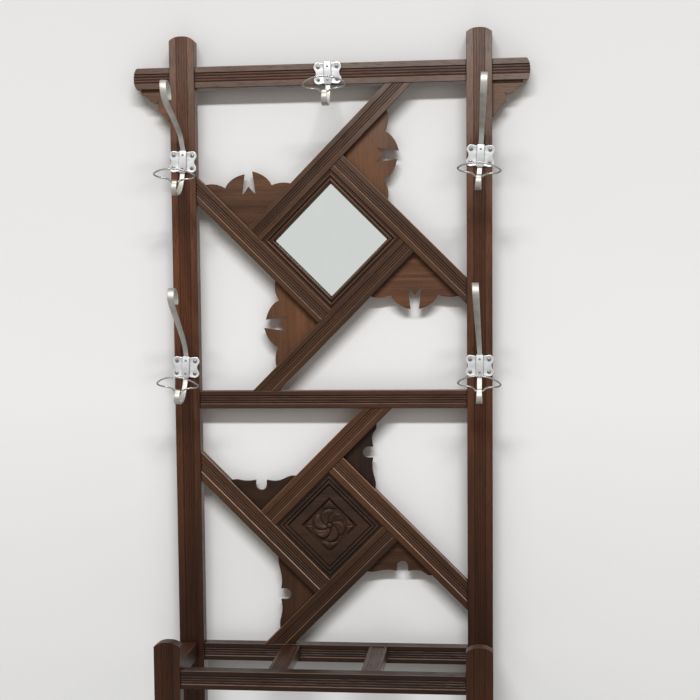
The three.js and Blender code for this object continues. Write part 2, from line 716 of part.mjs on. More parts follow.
// Old hooks have been knocked about. Each was screwed on with a small turn, in degrees clockwise. Its arm
// leans, given as the shift 110 mm above the plate, and is bent up or down by its rise at the crook. Its
// loop's front nods down, in millimetres for each one out from the roll, and its two ends differ in height.
const HOOKS = [
  { name: 'top', x: -1.7, z: HEAD_BOTTOM + 1, face: RAIL_FACE, turn: -1.5, nod: 0.18, loop: 0.5, arm: null },
  { name: 'upper_left', x: -265.7, z: 1556, face: STILE_FACE, turn: 2.5, nod: 0.28, lean: -16.5, rise: 0, loop: 0.5,
    arm: ARMS.forward },
  { name: 'upper_right', x: 265.1, z: 1555.5, face: STILE_FACE, turn: 3.5, nod: 0.28, lean: -0.2, rise: 0, loop: 0.5,
    arm: ARMS.forward },
  { name: 'lower_left', x: -266.8, z: 1187.5, face: STILE_FACE, turn: 2.5, nod: 0, lean: -10.6, rise: -1.5, loop: 0.5,
    arm: ARMS.steep },
  { name: 'lower_right', x: 264, z: 1187.5, face: STILE_FACE, turn: 0.5, nod: 0, lean: -6.9, rise: 2.5, loop: 1.5,
    arm: ARMS.steep },
];

function platePiece() {
  const { width, height, sheet, lobe, channel, channelRise } = PLATE;
  const side = width / 2 - lobe;
  const waist = width / 2 - 4;
  const half = channel / 2;
  const outline = new THREE.Shape();
  outline.moveTo(half, 1.5);
  outline.lineTo(side - 5, 1.2);
  outline.absarc(side, lobe, lobe, -Math.PI / 2, 0.75, false);
  outline.quadraticCurveTo(waist - 1.5, height / 2, side + lobe * Math.cos(0.75), height - lobe - lobe * Math.sin(0.75));
  outline.absarc(side, height - lobe, lobe, -0.75, Math.PI / 2, false);
  outline.lineTo(half, height - 2);
  outline.lineTo(half, height);
  outline.lineTo(-half, height);
  outline.lineTo(-half, height - 2);
  outline.absarc(-side, height - lobe, lobe, Math.PI / 2, Math.PI + 0.75, false);
  outline.quadraticCurveTo(1.5 - waist, height / 2, -side - lobe * Math.cos(0.75), lobe + lobe * Math.sin(0.75));
  outline.absarc(-side, lobe, lobe, Math.PI - 0.75, (3 * Math.PI) / 2, false);
  outline.lineTo(5 - side, 1.2);
  outline.lineTo(-half, 1.5);
  outline.lineTo(-half, 0);
  outline.lineTo(half, 0);
  const flat = toSolid(board(outline, -GLUE - sheet, -GLUE, 4));
  const bevel = new THREE.Shape([
    new THREE.Vector2(-half, 0),
    new THREE.Vector2(half, 0),
    new THREE.Vector2(half - 1, channelRise),
    new THREE.Vector2(1 - half, channelRise),
  ]);
  const outward = Y.clone().negate();
  const rib = beam(bevel, height, new THREE.Vector3(0, -GLUE, 0), Z, outward);
  const slot = STRIP.neck / 2 + GLUE;
  const depth = STRIP.thick + 3 * GLUE;
  return flat.add(rib).subtract(block([-slot, -depth, -1], [slot, 1, height + 1]));
}

// Points round part of a circle in the side view, as [out, up], by angle from straight out.
function sweep([out, up], radius, from, to, count) {
  return [...Array(count).keys()].map((i) => {
    const angle = THREE.MathUtils.degToRad(from + ((to - from) * i) / (count - 1));
    return [out + radius * Math.cos(angle), up + radius * Math.sin(angle)];
  });
}

// The strip's line from its rolled lower tip to the end of its crook.
function stripPath({ arm, lean = 0, rise = 0 }) {
  const { dipOut, dipZ } = WIRE;
  const rest = STRIP.thick / 2 + 1.5 * GLUE;
  const roll = sweep([dipOut, dipZ], ROLL.radius, ROLL.from, ROLL.to, ROLL.points).reverse();
  const bend = [
    [66.6, -26.2], [68.8, -31.5], [66.8, -38.4], [60, -42.7], [50, -43.3],
    [38, -40.8], [26, -35.3], [15, -26.3], [7.5, -16], [3, -6.5],
  ];
  const flat = [[rest, -1], [rest, 6], [rest, PLATE.height - 6]];
  const upper = arm
    ? [[rest, 1.5], ...arm.run, ...sweep(arm.middle, CROOK.radius, 0, 180, CROOK.points), arm.end]
      .map(([out, up]) => [out, up + (rise * up) / 124 + PLATE.height])
    : [];
  const points = [...roll, ...bend, ...flat, ...upper];
  return new THREE.CatmullRomCurve3(points.map(([out, up]) => {
    const above = Math.max(up - PLATE.height, 0);
    return new THREE.Vector3((lean * above) / 110, -out, up);
  }), false, 'centripetal');
}

// Half the strip's width at a point along it: narrow in the roll and at the plate, broad in the lower bend
// and at the crook.
function stripHalfWidth(t, plateFoot, plateHead) {
  const { neck, bend, roll, arm } = STRIP;
  const mix = THREE.MathUtils.lerp;
  const smooth = THREE.MathUtils.smoothstep;
  if (t < plateFoot) {
    const along = t / plateFoot;
    return mix(mix(roll, bend, smooth(along, 0.1, 0.3)), neck, smooth(along, 0.5, 0.85)) / 2;
  }
  return mix(neck, arm, smooth(t, plateHead, plateHead + 0.8 * (1 - plateHead))) / 2;
}

function stripPiece(hook) {
  const curve = stripPath(hook);
  curve.arcLengthDivisions = 600;
  const length = curve.getLength();
  // The rings stand closer together in the roll than along the rest
  const rolled = (ROLL.radius * THREE.MathUtils.degToRad(ROLL.to - ROLL.from)) / length;
  const steps = Math.round((length * (1 - rolled)) / STRIP_STEP);
  const marks = [...Array(ROLL_STEPS).keys()].map((i) => (rolled * i) / ROLL_STEPS);
  for (let step = 0; step <= steps; step++) {
    marks.push(Math.min(rolled + ((1 - rolled) * step) / steps, 1));
  }
  const passes = (level) => [...Array(201).keys()].map((i) => i / 200).find((t) => curve.getPointAt(t).z > level) ?? 1;
  const plateFoot = passes(0);
  const plateHead = passes(PLATE.height);
  return toSolid(skin(marks.map((t) => {
    const point = curve.getPointAt(t);
    const normal = new THREE.Vector3().crossVectors(curve.getTangentAt(t), X).normalize();
    const half = stripHalfWidth(t, plateFoot, plateHead);
    return STRIP_SECTION.map(([across, deep]) => point.clone()
      .addScaledVector(X, across * half)
      .addScaledVector(normal, (deep * STRIP.thick) / 2));
  })));
}

// The loop is a wide oval in front of the hook, drawn down at the back in a cupid's bow to the strip's tip,
// where a short straight length lies in the roll. Its right half runs from the front crest to the roll.
function wirePiece({ nod, loop: droop }) {
  const { radius, sides, steps, dipOut, dipZ, straight } = WIRE;
  const half = [
    [0, 80, 5], [14, 79, 3.4], [26.5, 74.8, -0.6], [34.5, 69, -5.8], [36.9, 64.5, -9], [34.6, 58, -12.2],
    [28, 53, -14.2], [20, 51.2, -15], [13, 54, -16.6], [9, 58.6, -19],
  ];
  const bent = (side) => ([x, out, up]) => {
    const nodded = up - nod * Math.max(out - dipOut, 0);
    return new THREE.Vector3(side * x, -out, nodded - (side * droop * x) / 37);
  };
  const right = half.map(bent(1));
  const dip = [straight, 0, -straight].map((x) => new THREE.Vector3(x, -dipOut, dipZ));
  const left = half.slice(1).reverse().map(bent(-1));
  const line = new THREE.CatmullRomCurve3([...right, ...dip, ...left], true, 'centripetal');
  const rings = [];
  for (let step = 0; step < steps; step++) {
    const t = step / steps;
    const point = line.getPointAt(t);
    const tangent = line.getTangentAt(t);
    const side = new THREE.Vector3().crossVectors(tangent, new THREE.Vector3(0, -0.35, 1)).normalize();
    const up = new THREE.Vector3().crossVectors(tangent, side);
    const ring = [];
    for (let i = 0; i < sides; i++) {
      const angle = (2 * Math.PI * i) / sides;
      ring.push(point.clone()
        .addScaledVector(side, radius * Math.cos(angle))
        .addScaledVector(up, radius * Math.sin(angle)));
    }
    rings.push(ring);
  }
  return toSolid(skin(rings, true));
}

// The scene: every piece is a mesh placed by its own reference point, and each hook is a group of its own

const stand = new THREE.Group();

function meshOf(name, material, solid, origin) {
  const geometry = toGeometry(solid).translate(-origin[0], -origin[1], -origin[2]);
  const mesh = new THREE.Mesh(geometry, FINISHES[material].clone());
  mesh.name = name;
  mesh.position.set(...origin);
  return mesh;
}

for (const [name, { material, solid, origin }] of pieces) {
  stand.add(meshOf(name, material, solid, origin));
}

for (const details of HOOKS) {
  const { name, x, z, face, turn } = details;
  const hook = new THREE.Group();
  hook.add(meshOf(`${name}_hook_plate`, 'hook', platePiece(), [0, 0, 0]));
  hook.add(meshOf(`${name}_hook_strip`, 'hook', stripPiece(details), [0, 0, 0]));
  hook.add(meshOf(`${name}_hook_wire`, 'wire', wirePiece(details), [0, 0, 0]));
  hook.position.set(x, face, z);
  hook.rotation.y = THREE.MathUtils.degToRad(turn);
  stand.add(hook);
}

export default stand;
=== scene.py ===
import math

import bmesh
import bpy
from mathutils import Matrix, Vector


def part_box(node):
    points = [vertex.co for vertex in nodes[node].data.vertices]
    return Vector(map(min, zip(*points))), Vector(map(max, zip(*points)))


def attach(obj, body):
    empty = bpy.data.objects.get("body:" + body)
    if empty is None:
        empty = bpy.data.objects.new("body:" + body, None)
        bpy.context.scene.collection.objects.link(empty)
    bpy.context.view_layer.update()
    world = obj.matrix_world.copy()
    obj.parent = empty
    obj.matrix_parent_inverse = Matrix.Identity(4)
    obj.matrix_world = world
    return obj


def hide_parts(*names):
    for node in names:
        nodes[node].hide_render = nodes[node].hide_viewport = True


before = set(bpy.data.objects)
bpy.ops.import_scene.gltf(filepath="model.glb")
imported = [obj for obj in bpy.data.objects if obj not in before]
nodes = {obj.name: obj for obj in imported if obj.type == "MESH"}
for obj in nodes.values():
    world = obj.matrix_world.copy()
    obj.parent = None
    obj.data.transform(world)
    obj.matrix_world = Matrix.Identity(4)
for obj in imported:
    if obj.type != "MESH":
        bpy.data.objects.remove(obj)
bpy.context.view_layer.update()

scene = bpy.context.scene

# Shapes are drawn in millimetres and made in metres. The camera, the materials and the studio are in metres.

MM = 0.001


def depth_of(node, side):
    """Where a node's front (side 0) or back (side 1) lies along Y, in millimetres."""
    return round(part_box(node)[side].y / MM, 2)


STILE_FACE = depth_of("left_stile", 0)
RAIL_FACE = depth_of("top_rail", 0)
BACK = depth_of("left_stile", 1)

# Camera, fitted to the stiles, rails and pinwheel bars

IMAGE = 700
FOCAL_PX = 1364.54
CENTRE_PX = (339.84, 405.43)
YAW, PITCH, ROLL = 0.1099, 0.0747, -0.0099
EYE = Vector((0.2823, -2.3444, 1.3194))


def add_camera():
    forward = Vector((-math.sin(YAW) * math.cos(PITCH), math.cos(YAW) * math.cos(PITCH), -math.sin(PITCH)))
    level = Vector((math.cos(YAW), math.sin(YAW), 0))
    up = level.cross(forward)
    right = level * math.cos(ROLL) + up * math.sin(ROLL)
    top = up * math.cos(ROLL) - level * math.sin(ROLL)
    data = bpy.data.cameras.new("camera")
    data.sensor_width = 36
    data.lens = FOCAL_PX * data.sensor_width / IMAGE
    data.shift_x = (IMAGE / 2 - CENTRE_PX[0]) / IMAGE
    data.shift_y = (CENTRE_PX[1] - IMAGE / 2) / IMAGE
    camera = bpy.data.objects.new("camera", data)
    axes = Matrix((right, top, -forward)).transposed().to_4x4()
    camera.matrix_world = Matrix.Translation(EYE) @ axes
    scene.collection.objects.link(camera)
    scene.camera = camera


# Node material helpers


class Nodes:
    """Builds one material's node tree with short calls."""

    def __init__(self, name):
        self.material = bpy.data.materials.new(name)
        self.material.use_nodes = True
        self.tree = self.material.node_tree
        self.shader = self.tree.nodes["Principled BSDF"]

    def add(self, kind, **settings):
        node = self.tree.nodes.new(kind)
        for key, value in settings.items():
            setattr(node, key, value)
        return node

    def join(self, source, target):
        self.tree.links.new(source, target)

    def put(self, socket, value):
        if isinstance(value, bpy.types.NodeSocket):
            self.join(value, socket)
        else:
            socket.default_value = value

    def surface(self, settings):
        """Joins or sets the shader's sockets by name, and gives the material."""
        for name, value in settings.items():
            self.put(self.shader.inputs[name], value)
        return self.material

    def math(self, operation, a, b=0.0):
        node = self.add("ShaderNodeMath", operation=operation)
        self.put(node.inputs[0], a)
        self.put(node.inputs[1], b)
        return node.outputs[0]

    def place(self, axis=None):
        """The point in the object's space, or one of its three coordinates."""
        point = self.add("ShaderNodeTexCoord").outputs["Object"]
        if axis is None:
            return point
        parts = self.add("ShaderNodeSeparateXYZ")
        self.join(point, parts.inputs[0])
        return parts.outputs[axis]

    def noise(self, vector, scale, detail=3.0, rough=0.55, distortion=0.0):
        node = self.add("ShaderNodeTexNoise")
        self.join(vector, node.inputs["Vector"])
        node.inputs["Scale"].default_value = scale
        node.inputs["Detail"].default_value = detail
        node.inputs["Roughness"].default_value = rough
        node.inputs["Distortion"].default_value = distortion
        return node.outputs["Fac"]

    def remap(self, value, low, high, to_low=0.0, to_high=1.0):
        node = self.add("ShaderNodeMapRange", clamp=True)
        self.put(node.inputs["Value"], value)
        node.inputs["From Min"].default_value = low
        node.inputs["From Max"].default_value = high
        node.inputs["To Min"].default_value = to_low
        node.inputs["To Max"].default_value = to_high
        return node.outputs[0]

    def mix(self, factor, a, b, blend="MIX"):
        node = self.add("ShaderNodeMix", data_type="RGBA", blend_type=blend)
        self.put(node.inputs["Factor"], factor)
        for socket, value in ((node.inputs[6], a), (node.inputs[7], b)):
            if isinstance(value, tuple):
                value = (*value, 1.0)
            self.put(socket, value)
        return node.outputs[2]

    def times(self, colour, factor):
        node = self.add("ShaderNodeVectorMath", operation="SCALE")
        self.join(colour, node.inputs[0])
        self.join(factor, node.inputs["Scale"])
        return node.outputs[0]

    def openness(self, reach, samples=6):
        """How open a point lies, 1 in the open and less in corners that are narrower than the reach."""
        node = self.add("ShaderNodeAmbientOcclusion", samples=samples)
        node.inputs["Distance"].default_value = reach
        return node.outputs["AO"]

    def bump(self, height, distance, normal):
        node = self.add("ShaderNodeBump")
        node.inputs["Distance"].default_value = distance
        self.join(height, node.inputs["Height"])
        self.join(normal, node.inputs["Normal"])
        return node.outputs[0]


def scaled(colour, factor):
    return tuple(v * factor for v in colour)


def edge_wear(n, radius, low, high):
    """The shading normal rounded over at every arris, and a mask that is 1 along the arrises."""
    bevel = n.add("ShaderNodeBevel", samples=4)
    bevel.inputs["Radius"].default_value = radius
    geometry = n.add("ShaderNodeNewGeometry")
    flat = n.add("ShaderNodeVectorMath", operation="DOT_PRODUCT")
    n.join(bevel.outputs[0], flat.inputs[0])
    n.join(geometry.outputs["Normal"], flat.inputs[1])
    return bevel.outputs[0], n.remap(flat.outputs["Value"], 1 - low, 1 - high)


# Wood

# How far object space is turned about its axes, in degrees, to lay its X along the grain
GRAIN_TURNS = {
    "x": (0, 0, 0),
    "y": (0, 0, -90),
    "z": (0, 90, 0),
    "rising": (0, 45, 0),
    "falling": (0, -45, 0),
}
# How far apart, in metres, boards of following seeds lie in the timber that they are cut from
SEED_STEP = (1.7, 0.9, 0.6)
# Painted light from above: the wood is darkest low down and lighter towards the top, where a grey of dust and
# painted glare lies on the polish too. Each row is a height above the floor in metres, the strength of the
# wood's colour with its painted light, and the share of dust and painted glare.
PAINTED_LIGHT_BY_HEIGHT = (
    (0.0, 0.42, 0.0),
    (0.74, 0.44, 0.0),
    (1.12, 1.0, 0.02),
    (1.45, 1.45, 0.04),
    (1.56, 1.55, 0.12),
    (1.65, 1.65, 0.32),
    (1.78, 2.2, 0.54),
)
# The heights between which the tones of the lower pinwheel give way to those of the upper one
UPPER_PART = (1.1, 1.3)
# The grey of dust and painted glare is thinner at the left end of the stand and thicker at the right end,
# where painted light comes from the upper right
DUST_GLARE_REACH, DUST_GLARE_LEFT, DUST_GLARE_RIGHT = 0.35, 0.65, 1.6
# The colour of the grey of dust and painted glare
DUST_AND_GLARE = (0.25, 0.215, 0.195)
# The colour of the painted highlight on the sides of the bands that face up
SLOPE_HIGHLIGHT = (0.30, 0.20, 0.155)
GOLDEN_SHARES = (1.25, 1.12, 0.95)
# Painted shade in the sunk band of reeds
SUNK_SHADE = (0.60, 0.46, 0.42)
WOOD_ARRIS, CORNER_SHADE_REACH, PORE_DEPTH = 1.1 * MM, 4 * MM, 0.12 * MM


def stretched(n, vector, along, across):
    mapping = n.add("ShaderNodeMapping")
    n.join(vector, mapping.inputs["Vector"])
    mapping.inputs["Scale"].default_value = (along, across, across)
    return mapping.outputs[0]


def board_space(n, along, seed):
    """Object space turned so that its X runs along the grain, and shifted to a board's own place."""
    mapping = n.add("ShaderNodeMapping")
    n.join(n.place(), mapping.inputs["Vector"])
    mapping.inputs["Rotation"].default_value = [math.radians(v) for v in GRAIN_TURNS[along]]
    shift = n.add("ShaderNodeVectorMath", operation="ADD")
    n.join(mapping.outputs[0], shift.inputs[0])
    shift.inputs[1].default_value = scaled(SEED_STEP, seed)
    return shift.outputs[0]


def grain_noises(n, space):
    return {
        "figure": n.noise(stretched(n, space, 1.1, 38), 1.0, 5, 0.62, 1.4),
        "streak": n.noise(stretched(n, space, 6, 420), 1.0, 3, 0.6, 0.3),
        "pore": n.noise(stretched(n, space, 45, 1500), 1.0, 2, 0.5),
        "blotch": n.noise(space, 7, 3, 0.6),
        "broad": n.noise(stretched(n, space, 2.2, 14), 1.0, 2, 0.5, 0.6),
    }


def fresh_tone(n, grain, dark, light):
    """The wood's own colour: its figure, fine dark streaks, golden stretches and dark blotches."""
    golden = tuple(v * share for v, share in zip(light, GOLDEN_SHARES))
    tone = n.mix(n.remap(grain["figure"], 0.36, 0.64), dark, light)
    tone = n.mix(n.remap(grain["streak"], 0.45, 0.68, 0.0, 0.5), tone, scaled(dark, 0.5))
    tone = n.mix(n.remap(grain["broad"], 0.46, 0.66, 0.0, 0.6), tone, golden)
    return n.mix(n.remap(grain["blotch"], 0.42, 0.72, 0.0, 0.3), tone, scaled(dark, 0.6))


def light_by_height(n):
    """The strength of the wood's colour with its painted light from above, and the share of dust and painted
    glare, at a height. There is more dust and painted glare towards the right, a painted light from the upper
    right.
    """
    top = PAINTED_LIGHT_BY_HEIGHT[-1][0]
    along = n.math("DIVIDE", n.place("Z"), top)
    outputs = []
    # A ramp's colours stay near 1, so the strength of the colour with its painted light is halved in it and
    # doubled after it
    for column, scale in ((1, 2.0), (2, 1.0)):
        curve = n.add("ShaderNodeValToRGB")
        curve.color_ramp.interpolation = "EASE"
        elements = curve.color_ramp.elements
        while len(elements) < len(PAINTED_LIGHT_BY_HEIGHT):
            elements.new(0.5)
        for element, row in zip(elements, PAINTED_LIGHT_BY_HEIGHT):
            element.position = row[0] / top
            element.color = (row[column] / scale,) * 3 + (1,)
        n.join(along, curve.inputs["Fac"])
        outputs.append(n.math("MULTIPLY", curve.outputs["Color"], scale))
    stain_and_light, dust_and_glare = outputs
    sideways = n.remap(n.place("X"), -DUST_GLARE_REACH, DUST_GLARE_REACH, DUST_GLARE_LEFT, DUST_GLARE_RIGHT)
    return stain_and_light, n.math("MULTIPLY", dust_and_glare, sideways)


def sloping_sides(n, level):
    """Masks for the sloping sides of the sunk bands and reeds, those that face up, which get a painted
    highlight, and those that face down, which get painted shade. Level is the upward part of the normal of a
    band's side."""
    normal = n.add("ShaderNodeSeparateXYZ")
    n.join(n.add("ShaderNodeNewGeometry").outputs["True Normal"], normal.inputs[0])
    front = n.remap(normal.outputs["Y"], -0.55, -0.65)
    up = n.remap(normal.outputs["Z"], 0.86 * level, 0.99 * level)
    down = n.remap(normal.outputs["Z"], -0.76 * level, -0.99 * level)
    return n.math("MULTIPLY", up, front), n.math("MULTIPLY", down, front)


def wood(name, along, dark, light, rough=(0.34, 0.55), pores=1.0, seed=0.0, dust_and_glare_share=1.0, level=0.68, slope_highlight=0.0,
         corner_shade=0.6, high_tone=1.0, face=None, sunk=0.0):
    """Stained open-grained wood with painted light from above: darker low down, and lighter and greyed by
    painted glare and dust towards the top. It is worn at its arrises and has painted shade in its corners.
    Its argument for the sides that face up sets the strength of their painted highlight, high_tone scales the
    painted light by height in the upper part, and sunk is how much painted shade darkens the band of reeds
    behind the front face."""
    n = Nodes(name)
    space = board_space(n, along, seed)
    grain = grain_noises(n, space)
    height = n.place("Z")
    stain_and_light, dust_and_glare = light_by_height(n)
    # The painted light by height, scaled in the upper part
    strength = n.math("MULTIPLY", stain_and_light, n.remap(height, *UPPER_PART, 1.0, high_tone))
    tone = n.times(fresh_tone(n, grain, dark, light), strength)

    if sunk:
        # Painted shade darkens the sunk band of reeds, which also takes less dust and painted glare than the
        # flats beside it
        band = n.remap(n.place("Y"), (face + 0.1) * MM, (face + 0.4) * MM, 0.0, sunk)
        tone = n.mix(band, tone, SUNK_SHADE, "MULTIPLY")
        dust_and_glare = n.math("MULTIPLY", dust_and_glare, n.math("SUBTRACT", 1.0, band))
    # A grey of dust and painted glare, patchy with the blotches
    patchy = n.remap(grain["blotch"], 0.3, 0.6, 0.55 * dust_and_glare_share, dust_and_glare_share)
    tone = n.mix(n.math("MULTIPLY", dust_and_glare, patchy), tone, DUST_AND_GLARE)

    # Painted shade on the undersides of the bands and reeds, and a painted highlight on their upper sides
    upper, under = sloping_sides(n, level)
    tone = n.mix(n.math("MULTIPLY", under, 0.55), tone, scaled(dark, 0.3))
    pale = n.mix(stain_and_light, SLOPE_HIGHLIGHT, scaled(SLOPE_HIGHLIGHT, 1.4))
    upper = n.math("MULTIPLY", upper, n.remap(height, *UPPER_PART, 1.0, 0.45))
    lit_slopes = n.math("MULTIPLY", upper, n.remap(grain["figure"], 0.3, 0.7, 0.7 * slope_highlight, slope_highlight))
    tone = n.mix(lit_slopes, tone, pale)

    # Open pores, pale worn arrises and painted shade in corners
    open_grain = n.remap(grain["pore"], 0.56, 0.66, 0.0, pores)
    tone = n.mix(n.math("MULTIPLY", open_grain, 0.6), tone, scaled(dark, 0.2))
    normal, worn = edge_wear(n, WOOD_ARRIS, 0.02, 0.25)
    chipped = n.math("MULTIPLY", worn, n.remap(n.noise(space, 60, 4, 0.7), 0.38, 0.6, 0.12, 0.62))
    tone = n.mix(chipped, tone, scaled(light, 1.7))
    # Painted shade in corners narrower than the reach
    tone = n.mix(n.remap(n.openness(CORNER_SHADE_REACH), 0.35, 0.97, corner_shade, 0.0), tone, scaled(dark, 0.15))

    gloss = n.math("ADD", n.remap(grain["blotch"], 0.3, 0.7, *rough), n.math("MULTIPLY", open_grain, 0.25))
    relief = n.math("SUBTRACT", n.math("MULTIPLY", grain["streak"], 0.6), n.math("MULTIPLY", open_grain, 0.8))
    return n.surface({
        "Base Color": tone,
        "Specular IOR Level": 0.22,
        "Specular Tint": (1.0, 0.80, 0.70, 1.0),
        "Roughness": gloss,
        "Normal": n.bump(relief, PORE_DEPTH, normal),
    })


FRAME_DARK, FRAME_LIGHT = (0.042, 0.0145, 0.0068), (0.088, 0.034, 0.0165)
RAIL_DARK, RAIL_LIGHT = (0.026, 0.0108, 0.0063), (0.055, 0.024, 0.014)
BAR_DARK, BAR_LIGHT = (0.038, 0.0165, 0.0085), (0.090, 0.041, 0.0195)
FRET_DARK, FRET_LIGHT = (0.036, 0.0155, 0.0085), (0.078, 0.036, 0.0185)
CARVED_DARK, CARVED_LIGHT = (0.022, 0.0115, 0.0075), (0.060, 0.031, 0.019)
BACKING_DARK, BACKING_LIGHT = (0.10, 0.06, 0.035), (0.19, 0.12, 0.07)


def fret(name, along, tone, seed):
    """The gussets' and brackets' wood, duller than the frame's and with less of its dust and painted glare.
    """
    return wood(name, along, scaled(FRET_DARK, tone), scaled(FRET_LIGHT, tone), rough=(0.5, 0.7), pores=0.5,
                seed=seed, dust_and_glare_share=0.6)


# The painted highlight is strongest on the falling bars, whose upper sides face the light from the upper
# right
woods = {
    "frame_x": wood("frame_wood_across", "x", RAIL_DARK, RAIL_LIGHT, seed=1, slope_highlight=0.35, corner_shade=0.95,
                    face=RAIL_FACE, sunk=0.8),
    "frame_y": wood("frame_wood_deep", "y", FRAME_DARK, FRAME_LIGHT, seed=2),
    "frame_z": wood("frame_wood_upright", "z", FRAME_DARK, FRAME_LIGHT, seed=3, face=STILE_FACE, sunk=0.4),
    "bar_rising": wood("bar_wood_rising", "rising", BAR_DARK, BAR_LIGHT, seed=4, level=0.48, slope_highlight=0.3,
                       high_tone=0.64, face=RAIL_FACE, sunk=0.35),
    "bar_falling": wood("bar_wood_falling", "falling", BAR_DARK, BAR_LIGHT, seed=5, level=0.48, slope_highlight=1.0,
                        high_tone=0.54, face=RAIL_FACE, sunk=0.35),
    "bracket": fret("fret_wood_bracket", "x", 1.15, 13),
    "carved": wood("carved_wood", "x", CARVED_DARK, CARVED_LIGHT, (0.3, 0.45), seed=8),
    "base": wood("base_wood", "x", BAR_DARK, BAR_LIGHT, (0.6, 0.8), seed=9),
    "backing": wood("backing_wood", "z", BACKING_DARK, BACKING_LIGHT, (0.7, 0.9), seed=10),
}
# Each gusset's tone is painted light and shade: darker where the bars and the middle rail shade it, lighter
# where light falls on it
GUSSET_LIGHT_AND_SHADE = {
    "upper_gusset_top_left": 0.92,
    "upper_gusset_top_right": 1.15,
    "upper_gusset_bottom_right": 1.35,
    "upper_gusset_bottom_left": 1.45,
    "lower_gusset_top_left": 0.45,
    "lower_gusset_top_right": 0.26,
    "lower_gusset_bottom_right": 1.60,
    "lower_gusset_bottom_left": 1.60,
}
FIRST_GUSSET_SEED = 20
for seed, (gusset, tone) in enumerate(GUSSET_LIGHT_AND_SHADE.items(), FIRST_GUSSET_SEED):
    along = "x" if gusset.endswith(("top_left", "bottom_right")) else "z"
    woods[gusset] = fret(gusset.replace("gusset", "fret_wood"), along, tone, seed)

# Metal

METAL_ARRIS, METAL_SHADE_REACH, SCRATCH_DEPTH = 0.5 * MM, 2.5 * MM, 0.02 * MM
BRIGHTEST = 0.92


def metal(name, colour, rough, brush=0.05, scale=900, tarnish=0.72):
    """Old metal with fine scratches, cloudy tarnish, bright arrises and painted shade in its corners."""
    n = Nodes(name)
    fine = n.noise(n.place(), scale, 2, 0.6)
    broad = n.noise(n.place(), 60, 3, 0.6)
    tone = n.mix(n.remap(broad, 0.35, 0.7, 0.0, 0.6), colour, scaled(colour, tarnish))
    normal, worn = edge_wear(n, METAL_ARRIS, 0.02, 0.3)
    bright = tuple(min(v * 1.7, BRIGHTEST) for v in colour)
    tone = n.mix(n.math("MULTIPLY", worn, 0.5), tone, bright)
    # Painted shade in corners narrower than the reach
    tone = n.mix(n.remap(n.openness(METAL_SHADE_REACH), 0.45, 0.92, 0.85, 0.0), tone, scaled(colour, 0.22))
    return n.surface({
        "Base Color": tone,
        "Metallic": 1.0,
        "Roughness": n.remap(n.math("ADD", fine, broad), 0.7, 1.3, rough - brush, rough + brush),
        "Normal": n.bump(fine, SCRATCH_DEPTH, normal),
    })


def mirror_material():
    n = Nodes("mirror_silver")
    haze = n.noise(n.place(), 30, 4, 0.6)
    return n.surface({
        "Base Color": n.mix(haze, (0.80, 0.84, 0.82), (0.86, 0.89, 0.87)),
        "Metallic": 1.0,
        "Roughness": n.remap(haze, 0.4, 0.8, 0.02, 0.05),
    })


hook_metals = {
    "plate": metal("hook_plate_metal", (0.71, 0.71, 0.72), 0.40),
    "strip": metal("hook_strip_metal", (0.43, 0.415, 0.385), 0.56, tarnish=0.68),
    "wire": metal("hook_wire_metal", (0.34, 0.335, 0.32), 0.30, tarnish=0.75),
    "screws": metal("hook_screw_metal", (0.26, 0.25, 0.24), 0.40),
}
# The finishes of the nodes that have one to themselves
single_finishes = {
    "drip_tray": metal("tray_zinc", (0.36, 0.38, 0.39), 0.55, brush=0.12, scale=260),
    "mirror_glass": mirror_material(),
    "mirror_backboard": woods["backing"],
    "carved_panel": woods["carved"],
    "floor_board": woods["base"],
}


def finish_of(name):
    if name in single_finishes:
        return single_finishes[name]
    if "_hook_" in name:
        return hook_metals[name.rsplit("_", 1)[1]]
    if "bracket" in name:
        return woods["bracket"]
    if "gusset" in name:
        return woods[name]
    if "_bar_" in name:
        return woods["bar_rising" if name.endswith(("top", "bottom")) else "bar_falling"]
    if "mirror_frame" in name:
        return woods["bar_rising" if name.endswith(("top_left", "bottom_right")) else "bar_falling"]
    if name.endswith(("left_rail", "right_rail", "divider")):
        return woods["frame_y"]
    if "rail" in name:
        return woods["frame_x"]
    return woods["frame_z"]


for name, node in nodes.items():
    node.data.materials.clear()
    node.data.materials.append(finish_of(name))

# Mesh helpers. Hooks are drawn in millimetres with X across, the second number out from the wood and the
# third up from the plate's lower edge.


def new_piece(name, verts, faces, material, slot, *replaced, sharp=40):
    mesh = bpy.data.meshes.new(name)
    mesh.from_pydata([tuple(v) for v in verts], [], faces)
    mesh.validate()
    solid = bmesh.new()
    solid.from_mesh(mesh)
    bmesh.ops.recalc_face_normals(solid, faces=solid.faces)
    solid.to_mesh(mesh)
    solid.free()
    mesh.shade_smooth()
    mesh.set_sharp_from_angle(angle=math.radians(sharp))
    mesh.materials.append(material)
    piece = bpy.data.objects.new(name, mesh)
    scene.collection.objects.link(piece)
    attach(piece, "stand")
    if replaced:
        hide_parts(*replaced)
    return piece


class Shape:
    """Collects verts and faces of several closed bodies for one piece."""

    def __init__(self):
        self.verts = []
        self.faces = []

    def rings(self, rings, closed=False):
        """Skins a run of rings of equal length, closed on itself or capped at both ends."""
        base, count = len(self.verts), len(rings[0])
        for ring in rings:
            self.verts.extend(ring)
        for i in range(len(rings) if closed else len(rings) - 1):
            here, there = base + i * count, base + (i + 1) % len(rings) * count
            for j in range(count):
                k = (j + 1) % count
                self.faces.append((here + j, here + k, there + k, there + j))
        if not closed:
            self.faces.append(tuple(range(base, base + count)))
            self.faces.append(tuple(range(base + (len(rings) - 1) * count, base + len(rings) * count)))

    def placed(self, matrix):
        return [matrix @ Vector(v) for v in self.verts]


